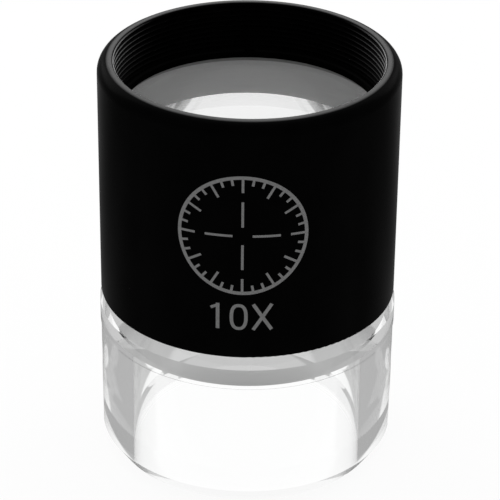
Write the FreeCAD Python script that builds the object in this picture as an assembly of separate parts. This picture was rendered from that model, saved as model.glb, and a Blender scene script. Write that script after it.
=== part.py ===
import FreeCAD, Part
import math
import os

# A cup loupe: a black barrel with the eye lens, which slides and turns on a clear base that stands on the work.
# All lengths are in millimetres. The base stands on Z zero and the common axis is Z.

# The barrel's outside, which the other radii start from.
barrel_radius = 18.0

# The clear base, from the ground up. The collar stands a little proud of barrel and skirt.
collar_overhang = 0.15
collar_step = 0.1
skirt_height = 16.7
collar_height = 4.1
collar_bevel_height = 1.45
collar_bevel_width = 1.0
foot_bevel_height = 2.15
foot_bevel_width = 1.45
neck_height = 10.85
neck_top_bevel = 0.15

# The hollow: a straight wall, then a cone up to the sight hole. The drop is taken from the skirt's top and the rise
# from the collar's top.
skirt_wall = 3.75
cavity_wall_drop = 0.95
cavity_rise = 2.65
sight_radius = 8.4

# The lower lens, its pocket in the neck and the ring that holds it. The rise is taken from the collar's top.
seat_rise = 5.25
seat_width = 0.8
lower_lens_edge = 1.2
lower_lens_ball = 46.0
lower_ring_wall = 0.7
lower_ring_height = 1.5

# The barrel's walls, round the neck and round the recess, and its recess.
barrel_wall = 1.98
recess_wall = 1.95
barrel_length = 30.4
barrel_gap = 0.15
barrel_top_round = 1.6
barrel_foot_round = 0.25
recess_depth = 7.1
recess_edge_bevel = 0.25
lip_width = 0.35
lip_thickness = 0.4
neck_top_gap = 0.25

# The thread in the recess, cut as separate rings.
recess_thread_start = 0.35
recess_thread_pitch = 0.66
recess_thread_depth = 0.4
recess_thread_count = 10

# The share of a pitch that each flank takes. The rest is the flat between them.
flank_share = 0.42

# The eye lens, the ring above it and the spacer below it.
eye_lens_edge = 2.0
eye_lens_ball = 24.0
eye_ring_height = 1.0
eye_ring_width = 0.7
eye_ring_bevel = 0.2
slot_width = 1.2
slot_depth = 0.5
slot_count = 2
spacer_wall = 0.8

# The rubber ring between barrel and neck.
ring_groove_height = 4.8
ring_thickness = 0.92
ring_groove_play = 0.12

# Clearances, each measured on the radius.
neck_clearance = 0.07
lens_clearance = 0.05
rubber_clearance = 0.02

# Heights and radii that follow from the values above.
collar_top = skirt_height + collar_height
cavity_wall_height = skirt_height - cavity_wall_drop
cavity_height = collar_top + cavity_rise
seat_height = collar_top + seat_rise
neck_top = collar_top + neck_height
barrel_foot = collar_top + barrel_gap
barrel_top = barrel_foot + barrel_length
lens_top = barrel_top - recess_depth
lens_foot = lens_top - eye_lens_edge
lip_foot = neck_top + neck_top_gap
lip_top = lip_foot + lip_thickness
collar_radius = barrel_radius + collar_overhang
skirt_radius = collar_radius - collar_step
cavity_radius = skirt_radius - skirt_wall
recess_radius = barrel_radius - recess_wall
lip_radius = recess_radius - lip_width
neck_bore_radius = barrel_radius - barrel_wall
neck_radius = neck_bore_radius - neck_clearance
eye_lens_radius = recess_radius - lens_clearance
eye_lens_ball_centre = lens_foot + math.sqrt(eye_lens_ball ** 2 - eye_lens_radius ** 2)
pocket_radius = sight_radius + seat_width
lower_lens_radius = pocket_radius - lens_clearance
ring_groove_foot = barrel_foot + ring_groove_height
ring_groove_width = ring_thickness + ring_groove_play
ring_inner_radius = neck_radius + rubber_clearance
ring_groove_radius = ring_inner_radius + ring_thickness + rubber_clearance


def point(radius, height):
    """A point of a profile, which lies in the XZ plane."""
    return FreeCAD.Vector(radius, 0, height)


def turned(corners):
    """The solid that a closed profile of (radius, height) corners gives when it is turned about Z."""
    points = [point(*corner) for corner in corners]
    face = Part.Face(Part.makePolygon(points + points[:1]))
    return face.revolve(FreeCAD.Vector(), FreeCAD.Vector(0, 0, 1), 360)


def disc(radius, low, high):
    """A plain cylinder between two heights."""
    return Part.makeCylinder(radius, high - low, FreeCAD.Vector(0, 0, low))


def ball(radius, centre_height):
    """A whole ball on the axis, for a lens surface."""
    return Part.makeSphere(radius, FreeCAD.Vector(0, 0, centre_height))


def ball_height(ball_radius, radius):
    """How far a ball's surface at this radius lies from the plane through its centre."""
    return math.sqrt(ball_radius ** 2 - radius ** 2)


def grooves(radius, depth, top, pitch, count):
    """The corners of a row of thread rings, from the top down. A positive depth cuts outwards."""
    corners = []
    flank = pitch * flank_share
    for turn in range(count):
        high = top - turn * pitch
        corners += [(radius, high), (radius + depth, high - flank)]
        corners += [(radius + depth, high - pitch + flank), (radius, high - pitch)]
    return without_repeats(corners)


def without_repeats(corners):
    """The same corners with each that repeats the one before it left out."""
    kept = corners[:1]
    for corner in corners[1:]:
        if math.dist(corner, kept[-1]) > recess_thread_depth * flank_share * flank_share:
            kept.append(corner)
    return kept


def rounded(solid, radius, height, rounding):
    """Rounds the circular edge that lies at this radius and height."""
    slack = rounding * flank_share
    chosen = []
    for edge in solid.Edges:
        curve = edge.Curve
        if isinstance(curve, Part.Circle) and abs(curve.Radius - radius) < slack:
            if abs(curve.Center.z - height) < slack:
                chosen.append(edge)
    return solid.makeFillet(rounding, chosen)


def recess_thread():
    """The inner thread of the recess, as corners from the top down."""
    top = barrel_top - recess_thread_start
    return grooves(recess_radius, recess_thread_depth, top, recess_thread_pitch, recess_thread_count)


def cavity():
    """The hollow of the skirt: a straight wall, then a cone up to the sight hole."""
    return turned([
        (0, 0),
        (cavity_radius, 0),
        (cavity_radius, cavity_wall_height),
        (sight_radius, cavity_height),
        (0, cavity_height),
    ])


def clear_base():
    """Skirt, collar and neck in one clear piece, hollow below and with a pocket for the lower lens."""
    outline = [
        (0, 0),
        (skirt_radius - foot_bevel_width, 0),
        (skirt_radius, foot_bevel_height),
        (skirt_radius, skirt_height),
        (collar_radius, skirt_height),
        (collar_radius, collar_top - collar_bevel_height),
        (collar_radius - collar_bevel_width, collar_top),
        (neck_radius, collar_top),
        (neck_radius, neck_top - neck_top_bevel),
        (neck_radius - neck_top_bevel, neck_top),
        (0, neck_top),
    ]
    solid = turned(outline).cut(cavity())
    solid = solid.cut(disc(sight_radius, 0, neck_top))
    return solid.cut(disc(pocket_radius, seat_height, neck_top))


def lower_lens():
    """A lens with its flat face on the ledge and its curved face up."""
    edge_top = seat_height + lower_lens_edge
    centre = edge_top - ball_height(lower_lens_ball, lower_lens_radius)
    blank = disc(lower_lens_radius, seat_height, centre + lower_lens_ball)
    return blank.common(ball(lower_lens_ball, centre))


def lower_retaining_ring():
    """The ring whose inner edge rests on the lower lens."""
    inner = lower_lens_radius - lower_ring_wall
    edge_top = seat_height + lower_lens_edge
    rise = ball_height(lower_lens_ball, inner) - ball_height(lower_lens_ball, lower_lens_radius)
    foot = edge_top + rise
    ring = disc(lower_lens_radius, foot, foot + lower_ring_height)
    return ring.cut(disc(inner, foot, foot + lower_ring_height))


def barrel():
    """The tube with its recess, the inner lip that carries the lenses and the bore for the neck."""
    outline = [
        (barrel_radius, barrel_foot),
        (barrel_radius, barrel_top),
        (recess_radius + recess_edge_bevel, barrel_top),
        (recess_radius, barrel_top - recess_edge_bevel),
    ]
    outline += recess_thread()
    outline += [
        (recess_radius, lip_top),
        (lip_radius, lip_top),
        (lip_radius, lip_foot),
        (neck_bore_radius, lip_foot),
        (neck_bore_radius, ring_groove_foot + ring_groove_width),
        (ring_groove_radius, ring_groove_foot + ring_groove_width),
        (ring_groove_radius, ring_groove_foot),
        (neck_bore_radius, ring_groove_foot),
        (neck_bore_radius, barrel_foot),
    ]
    solid = turned(outline)
    solid = rounded(solid, barrel_radius, barrel_top, barrel_top_round)
    return rounded(solid, barrel_radius, barrel_foot, barrel_foot_round)


def eye_lens():
    """A lens with its flat face up and its curved face down."""
    blank = disc(eye_lens_radius, eye_lens_ball_centre - eye_lens_ball, lens_top)
    return blank.common(ball(eye_lens_ball, eye_lens_ball_centre))


def eye_retaining_ring():
    """The ring on the eye lens, with slots for the spanner that turns it."""
    inner = eye_lens_radius - eye_ring_width
    top = lens_top + eye_ring_height
    ring = turned([
        (inner, lens_top),
        (eye_lens_radius, lens_top),
        (eye_lens_radius, top),
        (inner + eye_ring_bevel, top),
        (inner, top - eye_ring_bevel),
    ])
    for turn in range(slot_count):
        corner = FreeCAD.Vector(0, -slot_width / 2, top - slot_depth)
        slot = Part.makeBox(barrel_radius, slot_width, slot_depth, corner)
        slot.rotate(FreeCAD.Vector(), FreeCAD.Vector(0, 0, 1), 90 + 360 * turn / slot_count)
        ring = ring.cut(slot)
    return ring


def lens_spacer():
    """The tube between the lip and the eye lens, with its top cut to the lens's ball."""
    inner = eye_lens_radius - spacer_wall
    tube = disc(eye_lens_radius, lip_top, lens_foot).cut(disc(inner, lip_top, lens_foot))
    return tube.cut(ball(eye_lens_ball, eye_lens_ball_centre))


def focus_o_ring():
    """The rubber ring, lying on the lower side of its groove."""
    half = ring_thickness / 2
    centre = FreeCAD.Vector(0, 0, ring_groove_foot + half)
    return Part.makeTorus(ring_inner_radius + half, half, centre)


PIECES = {
    "clear_base": clear_base,
    "lower_lens": lower_lens,
    "lower_retaining_ring": lower_retaining_ring,
    "focus_o_ring": focus_o_ring,
    "barrel": barrel,
    "lens_spacer": lens_spacer,
    "eye_lens": eye_lens,
    "eye_retaining_ring": eye_retaining_ring,
}

os.makedirs("parts", exist_ok=True)
for name, make in PIECES.items():
    shape = make()
    box = shape.BoundBox
    print(name, shape.isValid(), len(shape.Solids), len(shape.Faces), round(shape.Volume, 1),
          round(box.ZMin, 3), round(box.ZMax, 3), round(box.XMax, 3))
    shape.exportStep("parts/" + name + ".step")
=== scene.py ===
# %% [markdown]
# A cup loupe stands on white paper: a black barrel holds a large eye lens deep in a threaded recess, and a clear skirt
# carries it at the right height. The shapes come from the CAD frame. This lesson gives them their finishes, remakes
# the clear pieces with finer surfaces, prints the marks, and sets up floor, light and camera.

# %% Load the frame
import math

import bmesh
import bpy
from mathutils import Matrix, Vector


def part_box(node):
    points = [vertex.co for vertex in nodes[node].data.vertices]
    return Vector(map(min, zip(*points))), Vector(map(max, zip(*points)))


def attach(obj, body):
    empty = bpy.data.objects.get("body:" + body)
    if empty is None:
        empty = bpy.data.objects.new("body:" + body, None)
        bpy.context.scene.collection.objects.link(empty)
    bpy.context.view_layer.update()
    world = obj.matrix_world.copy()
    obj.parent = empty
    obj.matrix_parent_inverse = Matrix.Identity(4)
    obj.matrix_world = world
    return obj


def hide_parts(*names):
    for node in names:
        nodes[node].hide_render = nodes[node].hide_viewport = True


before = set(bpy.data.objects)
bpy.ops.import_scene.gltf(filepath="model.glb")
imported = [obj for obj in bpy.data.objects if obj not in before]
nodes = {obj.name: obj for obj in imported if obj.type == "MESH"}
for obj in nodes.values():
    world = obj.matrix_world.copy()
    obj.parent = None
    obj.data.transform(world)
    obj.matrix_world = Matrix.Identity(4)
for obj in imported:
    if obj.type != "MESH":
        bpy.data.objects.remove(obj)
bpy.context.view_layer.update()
print("pieces in the frame:", sorted(nodes))

# %% [markdown]
# Blender works in metres, and a loupe is drawn in millimetres. One factor turns the drawing's numbers into Blender's,
# and a helper reads how far each CAD piece reaches, so that what is made here takes its size from the frame.

# %% Millimetres and the size of a piece
MM = 0.001
WHITE = (1.0, 1.0, 1.0, 1.0)


def grey(value):
    return (value, value, value, 1.0)


def reach(node):
    """A round piece's radius, foot and top, in millimetres."""
    low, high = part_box(node)
    return high[0] / MM, low[2] / MM, high[2] / MM


BARREL_RADIUS, BARREL_FOOT, BARREL_TOP = reach("barrel")
print("barrel: radius %.2f, from %.2f to %.2f mm" % (BARREL_RADIUS, BARREL_FOOT, BARREL_TOP))

# %% [markdown]
# Every finish starts as a Principled material. The first helper makes one, sets the values that are the same all over
# on the shader's own sockets, and hands back the node tree, so that each finish can add its own grain. The other
# helpers draw that grain and turn it into a number, a colour or a fine relief.

# %% A material to start from
DARK_UP_TO = 0.3
LIGHT_FROM = 0.7


def start_material(name, **values):
    material = bpy.data.materials.new(name)
    material.use_nodes = True
    tree = material.node_tree
    shader = tree.nodes["Principled BSDF"]
    for socket, value in values.items():
        shader.inputs[socket].default_value = value
    print("material:", name)
    return material, tree, shader


def grain(tree, scale, detail=3.0, stretch=(1.0, 1.0, 1.0)):
    """A noise in the object's own metres. The stretch makes it run along one direction."""
    place = tree.nodes.new("ShaderNodeTexCoord")
    spread = tree.nodes.new("ShaderNodeMapping")
    spread.inputs["Scale"].default_value = stretch
    noise = tree.nodes.new("ShaderNodeTexNoise")
    noise.inputs["Scale"].default_value = scale
    noise.inputs["Detail"].default_value = detail
    tree.links.new(place.outputs["Object"], spread.inputs["Vector"])
    tree.links.new(spread.outputs["Vector"], noise.inputs["Vector"])
    return noise.outputs["Fac"]


def between(tree, factor, low, high):
    """A number that follows the grain from low to high."""
    ramp = tree.nodes.new("ShaderNodeMapRange")
    ramp.inputs["To Min"].default_value = low
    ramp.inputs["To Max"].default_value = high
    tree.links.new(factor, ramp.inputs["Value"])
    return ramp.outputs["Result"]


def tinted(tree, factor, dark, light):
    """A colour that follows the grain from dark to light."""
    ramp = tree.nodes.new("ShaderNodeValToRGB")
    ramp.color_ramp.elements[0].position = DARK_UP_TO
    ramp.color_ramp.elements[1].position = LIGHT_FROM
    ramp.color_ramp.elements[0].color = dark
    ramp.color_ramp.elements[1].color = light
    tree.links.new(factor, ramp.inputs["Fac"])
    return ramp.outputs["Color"]


def bumped(tree, shader, factor, height, strength):
    """Very small relief from the grain."""
    bump = tree.nodes.new("ShaderNodeBump")
    bump.inputs["Distance"].default_value = height
    bump.inputs["Strength"].default_value = strength
    tree.links.new(factor, bump.inputs["Height"])
    tree.links.new(bump.outputs["Normal"], shader.inputs["Normal"])


print("five helpers for finishes")

# %% [markdown]
# The painted highlights on the barrel and the painted light and shade on the floor both depend on the place. A few
# more helpers do the sums with places: they step a value up or down between two lengths, and measure how far a place
# lies from a point.

# %% Sums with places
def math_node(tree, operation, first, second):
    """The first input may be a number or a socket, and so may the second."""
    node = tree.nodes.new("ShaderNodeMath")
    node.operation = operation
    for socket, value in zip(node.inputs, (first, second)):
        if isinstance(value, (int, float)):
            socket.default_value = value
        else:
            tree.links.new(value, socket)
    return node.outputs[0]


def step_up(tree, value, start, end):
    """Nought up to the start, one from the end on, both in millimetres."""
    ramp = tree.nodes.new("ShaderNodeMapRange")
    ramp.interpolation_type = "SMOOTHSTEP"
    ramp.inputs["From Min"].default_value = start * MM
    ramp.inputs["From Max"].default_value = end * MM
    tree.links.new(value, ramp.inputs["Value"])
    return ramp.outputs["Result"]


def step_down(tree, value, start, end):
    """One up to the start, nought from the end on, both in millimetres."""
    return math_node(tree, "SUBTRACT", 1.0, step_up(tree, value, start, end))


def distance_from(tree, place, centre):
    """How far a place lies from a centre that is given in millimetres."""
    distance = tree.nodes.new("ShaderNodeVectorMath")
    distance.operation = "DISTANCE"
    distance.inputs[1].default_value = [length * MM for length in centre]
    tree.links.new(place, distance.inputs[0])
    return distance.outputs["Value"]


def place_and_parts(tree):
    """The place on the object, and its parts across, along and up."""
    place = tree.nodes.new("ShaderNodeTexCoord").outputs["Object"]
    parts = tree.nodes.new("ShaderNodeSeparateXYZ")
    tree.links.new(place, parts.inputs["Vector"])
    return place, parts.outputs["X"], parts.outputs["Y"], parts.outputs["Z"]


print("five helpers for places")

# %% [markdown]
# The barrel is metal with a matt black coat. A coat like this hardly reflects, but it is never quite even: the sheen
# changes a little from place to place, and a very fine grain breaks up the reflections. A painted highlight makes the
# flat top of the rim a little greyer, and painted glints make the crests of the thread greyer, most of all near the
# rim and at the front, where the marks are, fading out towards the back.

# %% Matt black for the barrel
# The flat top of the rim gets a painted highlight: it is mixed towards white from here up to the top.
RIM_HIGHLIGHT_START = BARREL_TOP - 0.12
RIM_HIGHLIGHT_GREY = 0.11
# Painted glints on the crests of the thread: where they lie and how far they are mixed towards white.
CREST_RADIUS = (16.08, 16.14)
CREST_GLINT_FOOT = (44.6, 51.0)
CREST_GLINT_BACK = (-6.0, 11.5)
CREST_GLINT_GREY = 0.5
RELIEF = 0.02


def crest_glint_share(tree, along, up, radius):
    """How far painted glints grey the crests of the thread: most near the rim and on the side of the marks."""
    crest = step_down(tree, radius, *CREST_RADIUS)
    share = math_node(tree, "MULTIPLY", crest, step_down(tree, along, *CREST_GLINT_BACK))
    share = math_node(tree, "MULTIPLY", share, step_up(tree, up, *CREST_GLINT_FOOT))
    return math_node(tree, "MULTIPLY", share, CREST_GLINT_GREY)


def make_barrel_black():
    material, tree, shader = start_material("barrel_black", **{"Specular IOR Level": 0.006})
    cloud = grain(tree, scale=180.0)
    _, across, along, up = place_and_parts(tree)
    squares = [math_node(tree, "POWER", part, 2.0) for part in (across, along)]
    radius = math_node(tree, "SQRT", math_node(tree, "ADD", *squares), 0.0)
    # Painted highlights: the rim's flat top and the crests of the thread are mixed towards white.
    rim = math_node(tree, "MULTIPLY", step_up(tree, up, RIM_HIGHLIGHT_START, BARREL_TOP), RIM_HIGHLIGHT_GREY)
    painted_highlights = tree.nodes.new("ShaderNodeMix")
    painted_highlights.data_type = "RGBA"
    painted_highlights.inputs["B"].default_value = WHITE
    share = math_node(tree, "MAXIMUM", rim, crest_glint_share(tree, along, up, radius))
    tree.links.new(share, painted_highlights.inputs["Factor"])
    tree.links.new(tinted(tree, cloud, dark=grey(0.0006), light=grey(0.0011)), painted_highlights.inputs["A"])
    tree.links.new(painted_highlights.outputs["Result"], shader.inputs["Base Color"])
    tree.links.new(between(tree, cloud, low=0.24, high=0.32), shader.inputs["Roughness"])
    bumped(tree, shader, grain(tree, scale=9000.0, detail=2.0), height=RELIEF * MM, strength=0.15)
    return material


barrel_black = make_barrel_black()

# %% [markdown]
# The two screwed rings are anodised a flat black, and the rubber ring is duller still.

# %% Flat black and rubber
def make_ring_black():
    material, tree, shader = start_material("ring_black", **{"Specular IOR Level": 0.01})
    cloud = grain(tree, scale=900.0)
    tree.links.new(tinted(tree, cloud, dark=grey(0.0004), light=grey(0.0008)), shader.inputs["Base Color"])
    tree.links.new(between(tree, cloud, low=0.4, high=0.55), shader.inputs["Roughness"])
    return material


def make_rubber():
    material, tree, shader = start_material("rubber_black", **{"Specular IOR Level": 0.3})
    cloud = grain(tree, scale=2500.0)
    tree.links.new(tinted(tree, cloud, dark=grey(0.008), light=grey(0.014)), shader.inputs["Base Color"])
    tree.links.new(between(tree, cloud, low=0.6, high=0.8), shader.inputs["Roughness"])
    return material


ring_black = make_ring_black()
rubber_black = make_rubber()

# %% [markdown]
# The spacer is turned aluminium with a pale satin surface. Turning leaves fine rings, so its grain is drawn out round
# the axis by making it much finer along Z than across.

# %% Turned grey for the spacer
def make_turned_grey():
    material, tree, shader = start_material("turned_grey", **{"Metallic": 0.0, "Specular IOR Level": 0.4})
    rings = grain(tree, scale=60.0, detail=4.0, stretch=(1.0, 1.0, 60.0))
    tree.links.new(tinted(tree, rings, dark=grey(0.97), light=grey(1.0)), shader.inputs["Base Color"])
    tree.links.new(between(tree, rings, low=0.45, high=0.6), shader.inputs["Roughness"])
    return material


turned_grey = make_turned_grey()

# %% [markdown]
# Acrylic and glass differ in how much they bend light: 1.49 against 1.52. Both are polished. The acrylic has a trace
# of haze that keeps it from looking computed.

# %% Clear acrylic and glass
ACRYLIC_BENDING = 1.49
GLASS_BENDING = 1.52
FAINT_GREEN = (0.998, 1.0, 0.999, 1.0)


def make_clear(name, bending, haze, tint):
    material, tree, shader = start_material(name, **{
        "Base Color": tint, "IOR": bending, "Transmission Weight": 1.0,
    })
    cloud = grain(tree, scale=400.0)
    tree.links.new(between(tree, cloud, low=0.0, high=haze), shader.inputs["Roughness"])
    return material


clear_acrylic = make_clear("clear_acrylic", ACRYLIC_BENDING, haze=0.05, tint=FAINT_GREEN)
lens_glass = make_clear("lens_glass", GLASS_BENDING, haze=0.0, tint=FAINT_GREEN)

# %% [markdown]
# Only the two faces of a lens are polished. Its edge is ground to size and stays matt, and from above it is seen as a
# pale grey line round the glass. The bevel round the foot of the clear base is ground too, only finer, so it lets the
# light through with a little haze, and a grey tint paints shade into it that dims it a little.

# %% Ground surfaces
def make_ground_edge():
    material, tree, shader = start_material("ground_edge", **{"Specular IOR Level": 0.3})
    frost = grain(tree, scale=4000.0)
    tree.links.new(tinted(tree, frost, dark=grey(0.42), light=grey(0.55)), shader.inputs["Base Color"])
    tree.links.new(between(tree, frost, low=0.6, high=0.8), shader.inputs["Roughness"])
    return material


ground_edge = make_ground_edge()
# Painted shade: the grey tint dims the light through the bevel, and the haze is its fine grinding.
ground_bevel_with_painted_shade = make_clear("ground_bevel_with_painted_shade", ACRYLIC_BENDING, haze=0.1, tint=grey(0.88))

# %% [markdown]
# Five of the CAD pieces are shown as they are. Each gets one finish all over.

# %% Give the CAD pieces their finishes
def finish_node(name, material):
    slots = nodes[name].data.materials
    slots.clear()
    slots.append(material)


FINISHES = {
    "barrel": barrel_black,
    "eye_retaining_ring": ring_black,
    "lower_retaining_ring": ring_black,
    "focus_o_ring": rubber_black,
    "lens_spacer": turned_grey,
}
for name, material in FINISHES.items():
    finish_node(name, material)
print("finished:", ", ".join(FINISHES))

# %% [markdown]
# Light that passes through a clear piece meets every facet of its mesh, so the clear pieces are turned again here, as
# on a lathe, from a profile of radius and height with many more steps round the axis than the CAD mesh has.

# %% Turn a profile
STEPS = 256
CREASE = math.radians(25)
ON_AXIS = 1e-6


def ring_of_points(shape, radius, height):
    """The points of one profile corner round the axis. A corner on the axis has one point, repeated."""
    if radius < ON_AXIS:
        return [shape.verts.new((0, 0, height * MM))] * STEPS
    angles = [2 * math.pi * step / STEPS for step in range(STEPS)]
    places = [(radius * MM * math.sin(a), -radius * MM * math.cos(a), height * MM) for a in angles]
    return [shape.verts.new(place) for place in places]


def band(shape, ring, following):
    """The faces between two rings of points, without the points that repeat on the axis."""
    for step in range(STEPS):
        after = (step + 1) % STEPS
        corners = []
        for vert in (ring[step], ring[after], following[after], following[step]):
            if vert not in corners:
                corners.append(vert)
        if len(corners) > 2:
            shape.faces.new(corners)


def turn_profile(name, profile, material):
    """A closed profile of (radius, height) in millimetres, turned about Z."""
    mesh = bpy.data.meshes.new(name)
    shape = bmesh.new()
    rings = [ring_of_points(shape, radius, height) for radius, height in profile]
    for ring, following in zip(rings, rings[1:] + rings[:1]):
        band(shape, ring, following)
    bmesh.ops.recalc_face_normals(shape, faces=shape.faces)
    shape.to_mesh(mesh)
    shape.free()
    for face in mesh.polygons:
        face.use_smooth = True
    mesh.set_sharp_from_angle(angle=CREASE)
    mesh.materials.append(material)
    piece = bpy.data.objects.new(name, mesh)
    bpy.context.scene.collection.objects.link(piece)
    print(name, "has", len(mesh.polygons), "faces")
    return piece


print("profiles are turned in", STEPS, "steps")

# %% [markdown]
# The clear base is one piece: the skirt, the collar that the barrel stops on, and the neck inside the barrel. Its
# hollow is a straight wall below and a cone above, up to the sight hole under the lower lens.

# %% The clear base
COLLAR_RADIUS, _, NECK_TOP = reach("clear_base")
LOWER_LENS_RADIUS, SEAT_HEIGHT, _ = reach("lower_lens")
SKIRT_RADIUS = 18.05
SKIRT_HEIGHT = 16.7
COLLAR_TOP = 20.8
COLLAR_BEVEL_WIDTH, COLLAR_BEVEL_HEIGHT = 1.0, 1.45
FOOT_BEVEL_WIDTH, FOOT_BEVEL_HEIGHT = 1.45, 2.15
NECK_RADIUS = 15.95
NECK_BEVEL = 0.15
CAVITY_RADIUS = 14.3
CAVITY_WALL = 15.75
CAVITY_TOP = 23.45
SIGHT_RADIUS = 8.4
LENS_CLEARANCE = 0.05
POCKET_RADIUS = LOWER_LENS_RADIUS + LENS_CLEARANCE

base_profile = [
    (SKIRT_RADIUS - FOOT_BEVEL_WIDTH, 0),
    (SKIRT_RADIUS, FOOT_BEVEL_HEIGHT),
    (SKIRT_RADIUS, SKIRT_HEIGHT),
    (COLLAR_RADIUS, SKIRT_HEIGHT),
    (COLLAR_RADIUS, COLLAR_TOP - COLLAR_BEVEL_HEIGHT),
    (COLLAR_RADIUS - COLLAR_BEVEL_WIDTH, COLLAR_TOP),
    (NECK_RADIUS, COLLAR_TOP),
    (NECK_RADIUS, NECK_TOP - NECK_BEVEL),
    (NECK_RADIUS - NECK_BEVEL, NECK_TOP),
    (POCKET_RADIUS, NECK_TOP),
    (POCKET_RADIUS, SEAT_HEIGHT),
    (SIGHT_RADIUS, SEAT_HEIGHT),
    (SIGHT_RADIUS, CAVITY_TOP),
    (CAVITY_RADIUS, CAVITY_WALL),
    (CAVITY_RADIUS, 0),
]
# The faces of the ground bevel lie above the foot and look partly down.
ABOVE_FOOT = 0.1
LOOKS_DOWN = -0.2

clear_base = turn_profile("clear_base_fine", base_profile, clear_acrylic)
clear_base.data.materials.append(ground_bevel_with_painted_shade)
for face in clear_base.data.polygons:
    if ABOVE_FOOT * MM < face.center.z < FOOT_BEVEL_HEIGHT * MM and face.normal.z < LOOKS_DOWN:
        face.material_index = 1
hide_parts("clear_base")
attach(clear_base, "base")

# %% [markdown]
# Both lenses have one flat face and one face that is part of a ball. The curved face is drawn as a row of points on
# that ball, close enough together that the light doesn't notice them.

# %% The two lenses
EYE_LENS_RADIUS, _, EYE_LENS_TOP = reach("eye_lens")
EYE_LENS_EDGE = 2.0
EYE_LENS_BALL = 24.0
LOWER_LENS_EDGE = 1.2
LOWER_LENS_BALL = 46.0
CURVE_STEPS = 40
UPRIGHT = 0.05


def lens_profile(radius, flat_height, edge_height, ball):
    """From the flat face's middle, round the edge, to the curved face's middle."""
    side = 1 if edge_height > flat_height else -1
    centre = math.sqrt(ball ** 2 - radius ** 2)
    curve = []
    for step in range(CURVE_STEPS + 1):
        r = radius * (1 - step / CURVE_STEPS)
        curve.append((r, edge_height + side * (math.sqrt(ball ** 2 - r ** 2) - centre)))
    return [(0, flat_height), (radius, flat_height), *curve]


def make_lens(node, body, profile):
    lens = turn_profile(node + "_fine", profile, lens_glass)
    lens.data.materials.append(ground_edge)
    for face in lens.data.polygons:
        if abs(face.normal.z) < UPRIGHT:
            face.material_index = 1
    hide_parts(node)
    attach(lens, body)
    return lens


eye_lens = make_lens("eye_lens", "barrel", lens_profile(
    EYE_LENS_RADIUS, EYE_LENS_TOP, EYE_LENS_TOP - EYE_LENS_EDGE, EYE_LENS_BALL))
lower_lens = make_lens("lower_lens", "base", lens_profile(
    LOWER_LENS_RADIUS, SEAT_HEIGHT, SEAT_HEIGHT + LOWER_LENS_EDGE, LOWER_LENS_BALL))

# %% [markdown]
# The marks on the barrel are printed in grey. Each is a thin ribbon of faces, drawn flat in millimetres, as arc length
# and height, and then wrapped round the barrel a hair's breadth above its surface.

# %% Wrap flat strokes round the barrel
INK_THICKNESS = 0.008
PRINT_RADIUS = BARREL_RADIUS + INK_THICKNESS
STROKE = 0.43
print_ink, ink_tree, ink_shader = start_material("print_ink", **{"Roughness": 0.6, "Specular IOR Level": 0.2})
ink_cloud = grain(ink_tree, scale=3000.0)
ink_tint = tinted(ink_tree, ink_cloud, dark=grey(0.15), light=grey(0.185))
ink_tree.links.new(ink_tint, ink_shader.inputs["Base Color"])


def wrapped(arc, height):
    angle = arc / PRINT_RADIUS
    return (PRINT_RADIUS * MM * math.sin(angle), -PRINT_RADIUS * MM * math.cos(angle), height * MM)


def ribbon(shape, points, width, closed=False):
    """Faces of one width along a path of (arc, height) points."""
    count = len(points)
    sides = []
    for i, (x, z) in enumerate(points):
        before = points[i - 1] if i or closed else points[i]
        after = points[(i + 1) % count] if i + 1 < count or closed else points[i]
        dx, dz = after[0] - before[0], after[1] - before[1]
        size = math.hypot(dx, dz)
        nx, nz = -dz / size * width / 2, dx / size * width / 2
        sides.append((shape.verts.new(wrapped(x + nx, z + nz)), shape.verts.new(wrapped(x - nx, z - nz))))
    for i in range(count if closed else count - 1):
        (a, b), (c, d) = sides[i], sides[(i + 1) % count]
        shape.faces.new((a, b, d, c))


def line(start, end, steps=10):
    return [
        (start[0] + (end[0] - start[0]) * i / steps, start[1] + (end[1] - start[1]) * i / steps)
        for i in range(steps + 1)
    ]


def oval(centre, half_width, half_height, power=2.0, steps=72):
    """A power of two gives an ellipse, and a higher one squarer shoulders."""
    points = []
    for i in range(steps):
        c, s = math.cos(2 * math.pi * i / steps), math.sin(2 * math.pi * i / steps)
        points.append((
            centre[0] + half_width * math.copysign(abs(c) ** (2 / power), c),
            centre[1] + half_height * math.copysign(abs(s) ** (2 / power), s),
        ))
    return points


def print_piece(name, strokes):
    mesh = bpy.data.meshes.new(name)
    shape = bmesh.new()
    for points, width, closed in strokes:
        ribbon(shape, points, width, closed)
    bmesh.ops.recalc_face_normals(shape, faces=shape.faces)
    shape.to_mesh(mesh)
    shape.free()
    mesh.materials.append(print_ink)
    piece = bpy.data.objects.new(name, mesh)
    bpy.context.scene.collection.objects.link(piece)
    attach(piece, "barrel")
    print(name, "has", len(mesh.polygons), "faces")
    return piece


print("the print lies %.3f mm from the axis" % PRINT_RADIUS)

# %% [markdown]
# The magnification is plain information, so it is printed as such: a one, a nought and a cross.

# %% The magnification
FOOT, HEAD = 24.85, 28.27
ONE_AT = -3.46
FLAG_START, FLAG_END = (-4.29, 27.6), (-3.6, 27.95)
FLAG_WIDTH = 0.36
NOUGHT_CENTRE = (-0.99, 26.55)
NOUGHT_HALF_WIDTH, NOUGHT_HALF_HEIGHT = 0.85, 1.54
NOUGHT_POWER = 2.5
NOUGHT_SHARE = 0.95
CROSS_LEFT, CROSS_RIGHT = 0.70, 2.86

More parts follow.
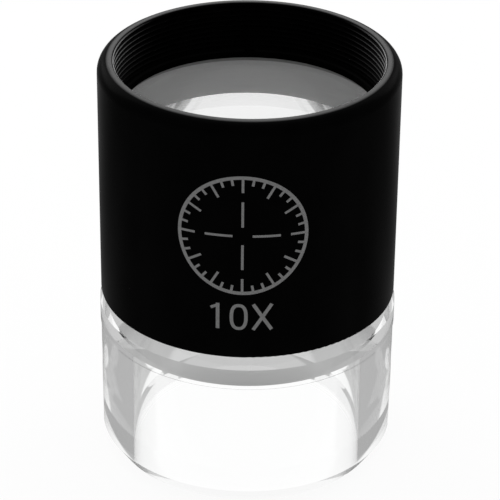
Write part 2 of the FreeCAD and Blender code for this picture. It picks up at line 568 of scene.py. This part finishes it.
nought = oval(NOUGHT_CENTRE, NOUGHT_HALF_WIDTH, NOUGHT_HALF_HEIGHT, NOUGHT_POWER)
ten_times = print_piece("magnification_print", [
    (line((ONE_AT, FOOT), (ONE_AT, HEAD)), STROKE, False),
    (line(FLAG_START, FLAG_END, steps=4), FLAG_WIDTH, False),
    (nought, STROKE * NOUGHT_SHARE, True),
    (line((CROSS_LEFT, FOOT), (CROSS_RIGHT, HEAD)), STROKE, False),
    (line((CROSS_RIGHT, FOOT), (CROSS_LEFT, HEAD)), STROKE, False),
])

# %% [markdown]
# Above the magnification the barrel carries a plain sign for a measuring glass: a ring with a graduated edge and a
# cross-hair. The ring is a loop of points, and its ticks are short strokes set round it by their angle.

# %% The graduated ring
SIGN_CENTRE = (-0.62, 37.25)
SIGN_RADIUS = 7.5
SIGN_STEPS = 144
TICK_COUNT = 36
TICK_LENGTHS = (1.9, 0.95, 0.95)
TICK_WIDTH = 0.3
HAIR_COUNT = 4
HAIR_GAP = 1.15
HAIR_END = 4.4


def spoke(turn, inner, outer):
    """A straight stroke that points at the sign's middle, at this share of a whole turn."""
    across, up = math.cos(2 * math.pi * turn), math.sin(2 * math.pi * turn)
    ends = [(SIGN_CENTRE[0] + radius * across, SIGN_CENTRE[1] + radius * up) for radius in (inner, outer)]
    return line(*ends, steps=6)


strokes = [(oval(SIGN_CENTRE, SIGN_RADIUS, SIGN_RADIUS, steps=SIGN_STEPS), STROKE, True)]
for tick in range(TICK_COUNT):
    length = TICK_LENGTHS[tick % len(TICK_LENGTHS)]
    strokes.append((spoke(tick / TICK_COUNT, SIGN_RADIUS - length, SIGN_RADIUS), TICK_WIDTH, False))
for hair in range(HAIR_COUNT):
    strokes.append((spoke(hair / HAIR_COUNT, HAIR_GAP, HAIR_END), TICK_WIDTH, False))
graduated_ring = print_piece("graduated_ring_print", strokes)

# %% [markdown]
# The floor is a plain white sheet. The camera sees it close to pure white, mixed with its real shading, so that the
# loupe's soft shadow stays. A clear skirt on pure white would vanish, though. What draws it in the photograph is that
# its walls show parts of the floor that are less bright. So light and shade are painted on the floor as a glow that
# only rays through clear pieces and reflections see. There is a painted pool of light at the loupe's foot and a small
# round patch at each of the pool's back corners, and the floor is nearly white in front. Beside the pool a painted
# shadow halves the brightness, a painted glow right behind it is a little brighter again, and further back the
# painted shade is darker.

# %% The floor
# Where the painted pool of light, its corner patches and the painted glow behind it lie on the floor.
DISC_EDGE = (15.0, 15.4)
POOL_CENTRE = (0.3, 7.0, 0.0)
POOL_EDGE = (19.2, 20.5)
POOL_BACK = (13.0, 13.8)
POOL_FLANK = (10.5, 12.0)
FLANK_REACH = 5.0
CORNER_CENTRE = (18.8, 17.8, 0.0)
CORNER_EDGE = (2.6, 3.7)
GLOW_CENTRE = (-1.0, 18.5, 0.0)
GLOW_EDGE = (11.0, 15.5)
GLOW = 0.61
# Each stop is a depth in millimetres, from the front to the back, and the painted brightness there.
PAINTED_FLOOR_SHADE = [(-22, 0.85), (-19, 1.0), (-12.6, 1.0), (-11.2, 0.46), (16, 0.46), (26, 0.42),
                    (36, 0.28), (50, 0.26), (60, 0.29), (72, 0.34), (90, 0.41)]
SHADOW_SHARE = 0.06
PAPER_GREY = 0.85
FLOOR_HALF = 3.0


def painted_shade_by_depth(tree, along):
    """The floor's painted shade where no pool lies, from the front to the back."""
    first, last = PAINTED_FLOOR_SHADE[0][0], PAINTED_FLOOR_SHADE[-1][0]
    share = math_node(tree, "DIVIDE", math_node(tree, "SUBTRACT", along, first * MM), (last - first) * MM)
    ramp = tree.nodes.new("ShaderNodeValToRGB")
    stops = ramp.color_ramp.elements
    stops.remove(stops[-1])
    for at, (depth, value) in enumerate(PAINTED_FLOOR_SHADE):
        stop = stops[0] if at == 0 else stops.new((depth - first) / (last - first))
        stop.color = grey(value)
    stops[0].position = 0.0
    tree.links.new(share, ramp.inputs["Fac"])
    return ramp.outputs["Color"]


def painted_light_pool(tree, place, across, along):
    """One in the painted pool of light at the foot, whose back edge lies further back at both sides."""
    disc = step_down(tree, distance_from(tree, place, (0, 0, 0)), *DISC_EDGE)
    pool = step_down(tree, distance_from(tree, place, POOL_CENTRE), *POOL_EDGE)
    flank = step_up(tree, math_node(tree, "ABSOLUTE", across, 0.0), *POOL_FLANK)
    depth = math_node(tree, "SUBTRACT", along, math_node(tree, "MULTIPLY", flank, FLANK_REACH * MM))
    near = math_node(tree, "MAXIMUM", disc, pool)
    return math_node(tree, "MULTIPLY", near, step_down(tree, depth, *POOL_BACK))


def painted_light_corners(tree, place):
    """One in four painted patches of light, which the absolute place makes of one. In front the floor is nearly white
    anyway.
    """
    folded = tree.nodes.new("ShaderNodeVectorMath")
    folded.operation = "ABSOLUTE"
    tree.links.new(place, folded.inputs[0])
    return step_down(tree, distance_from(tree, folded.outputs["Vector"], CORNER_CENTRE), *CORNER_EDGE)


def painted_floor_light(tree):
    """The painted light and shade that the clear walls show, by the place on the floor."""
    place, across, along, _ = place_and_parts(tree)
    glow = step_down(tree, distance_from(tree, place, GLOW_CENTRE), *GLOW_EDGE)
    parts = (
        painted_light_corners(tree, place),
        math_node(tree, "MULTIPLY", glow, GLOW),
        painted_shade_by_depth(tree, along),
    )
    brightest = painted_light_pool(tree, place, across, along)
    for part in parts:
        brightest = math_node(tree, "MAXIMUM", brightest, part)
    return brightest


def make_paper():
    material, tree, shader = start_material("white_paper", **{
        "Base Color": grey(PAPER_GREY), "Roughness": 0.9,
    })
    path = tree.nodes.new("ShaderNodeLightPath")
    camera_ray = path.outputs["Is Camera Ray"]
    # Rays through clear pieces and reflections see the painted light and shade as a glow, and the camera sees it
    # white.
    through = math_node(tree, "MAXIMUM", path.outputs["Is Transmission Ray"], path.outputs["Is Glossy Ray"])
    share = math_node(tree, "MAXIMUM", through, math_node(tree, "MULTIPLY", camera_ray, 1 - SHADOW_SHARE))
    glow = tree.nodes.new("ShaderNodeEmission")
    tree.links.new(math_node(tree, "MAXIMUM", painted_floor_light(tree), camera_ray), glow.inputs["Strength"])
    blend = tree.nodes.new("ShaderNodeMixShader")
    tree.links.new(share, blend.inputs["Fac"])
    tree.links.new(shader.outputs["BSDF"], blend.inputs[1])
    tree.links.new(glow.outputs["Emission"], blend.inputs[2])
    tree.links.new(blend.outputs["Shader"], tree.nodes["Material Output"].inputs["Surface"])
    return material


floor_mesh = bpy.data.meshes.new("floor")
floor_corners = [(-FLOOR_HALF, -FLOOR_HALF, 0), (FLOOR_HALF, -FLOOR_HALF, 0),
                 (FLOOR_HALF, FLOOR_HALF, 0), (-FLOOR_HALF, FLOOR_HALF, 0)]
floor_mesh.from_pydata(floor_corners, [], [(0, 1, 2, 3)])
floor_mesh.materials.append(make_paper())
floor = bpy.data.objects.new("floor", floor_mesh)
bpy.context.scene.collection.objects.link(floor)
print("the floor is", 2 * FLOOR_HALF, "m wide")

# %% [markdown]
# The room is an even soft grey, because black and clear things show their surroundings. The camera itself sees it
# white. The grey goes through a ramp by direction whose two ends are the same. The ramp looks idle, but Cycles treats
# a room that may change with direction as a lamp and aims rays at it. Without it the grey wall behind the eye lens
# comes out about two levels of 255 darker.

# %% The room
ROOM_BRIGHTNESS = 0.6

world = bpy.data.worlds.new("studio")
bpy.context.scene.world = world
world.use_nodes = True
tree = world.node_tree
room = tree.nodes["Background"]
room.inputs["Color"].default_value = WHITE
direction = tree.nodes.new("ShaderNodeTexCoord").outputs["Generated"]
even_grey = between(tree, direction, low=ROOM_BRIGHTNESS, high=ROOM_BRIGHTNESS)
tree.links.new(even_grey, room.inputs["Strength"])
white_room = tree.nodes.new("ShaderNodeBackground")
white_room.inputs["Color"].default_value = WHITE
path = tree.nodes.new("ShaderNodeLightPath")
choose = tree.nodes.new("ShaderNodeMixShader")
tree.links.new(path.outputs["Is Camera Ray"], choose.inputs["Fac"])
tree.links.new(room.outputs["Background"], choose.inputs[1])
tree.links.new(white_room.outputs["Background"], choose.inputs[2])
tree.links.new(choose.outputs["Shader"], tree.nodes["World Output"].inputs["Surface"])
print("room brightness:", ROOM_BRIGHTNESS)

# %% [markdown]
# Three soft boxes light the loupe: one behind it at each side, which draw the barrel's edges, and one above. They are
# left out of what shows through the clear pieces, where they would be seen as hard bright patches.

# %% The lamps
LAMP_DISTANCE = 0.5


def soft_box(name, azimuth, elevation, width, height, radiance):
    """Azimuth 0 is behind the loupe and 90 at its right."""
    data = bpy.data.lights.new(name, "AREA")
    data.shape = "RECTANGLE"
    data.size, data.size_y = width, height
    data.energy = radiance * math.pi * width * height
    lamp = bpy.data.objects.new(name, data)
    a, e = math.radians(azimuth), math.radians(elevation)
    outwards = Vector((math.sin(a) * math.cos(e), math.cos(a) * math.cos(e), math.sin(e)))
    lamp.location = outwards * LAMP_DISTANCE
    lamp.rotation_euler = (-lamp.location).to_track_quat("-Z", "Y").to_euler()
    lamp.visible_transmission = False
    bpy.context.scene.collection.objects.link(lamp)
    print("lamp:", name)


soft_box("left_box", azimuth=-45, elevation=35, width=0.3, height=0.4, radiance=2.0)
soft_box("right_box", azimuth=45, elevation=35, width=0.25, height=0.4, radiance=1.6)
soft_box("top_box", azimuth=0, elevation=75, width=0.4, height=0.3, radiance=2.0)

# %% [markdown]
# The camera looks down at 29 degrees through a long lens. Its place was found by matching the ellipses of the
# photograph's rims to the model's circles, so it is given in barrel radii.

# %% The camera
PHOTO_SIDE = 500
DISTANCE = 15.15 * BARREL_RADIUS * MM
HEIGHT = 9.88 * BARREL_RADIUS * MM
TILT = math.radians(29.2)
ROLL = 0.0102
FOCUS_PIXELS = 2552
OFF_CENTRE_PIXELS = 2.15
SENSOR_WIDTH = 36
NEAREST, FURTHEST = 0.01, 20

ahead = Vector((0, math.cos(TILT), -math.sin(TILT)))
above = Vector((0, math.sin(TILT), math.cos(TILT)))
right = Vector((1, 0, 0)) * math.cos(ROLL) + above * math.sin(ROLL)
above = above * math.cos(ROLL) - Vector((1, 0, 0)) * math.sin(ROLL)
turn = math.atan(OFF_CENTRE_PIXELS / FOCUS_PIXELS)
ahead, right = (
    ahead * math.cos(turn) + right * math.sin(turn),
    right * math.cos(turn) - ahead * math.sin(turn),
)
lens = bpy.data.cameras.new("camera")
lens.sensor_width = SENSOR_WIDTH
lens.lens = FOCUS_PIXELS / PHOTO_SIDE * SENSOR_WIDTH
lens.clip_start, lens.clip_end = NEAREST, FURTHEST
camera = bpy.data.objects.new("camera", lens)
axes = Matrix((right, above, -ahead)).transposed()
camera.matrix_world = Matrix.Translation((0, -DISTANCE, HEIGHT)) @ axes.to_4x4()
bpy.context.scene.collection.objects.link(camera)
bpy.context.scene.camera = camera
bpy.context.scene.view_settings.view_transform = "Standard"
print("camera: %.0f mm lens" % lens.lens)
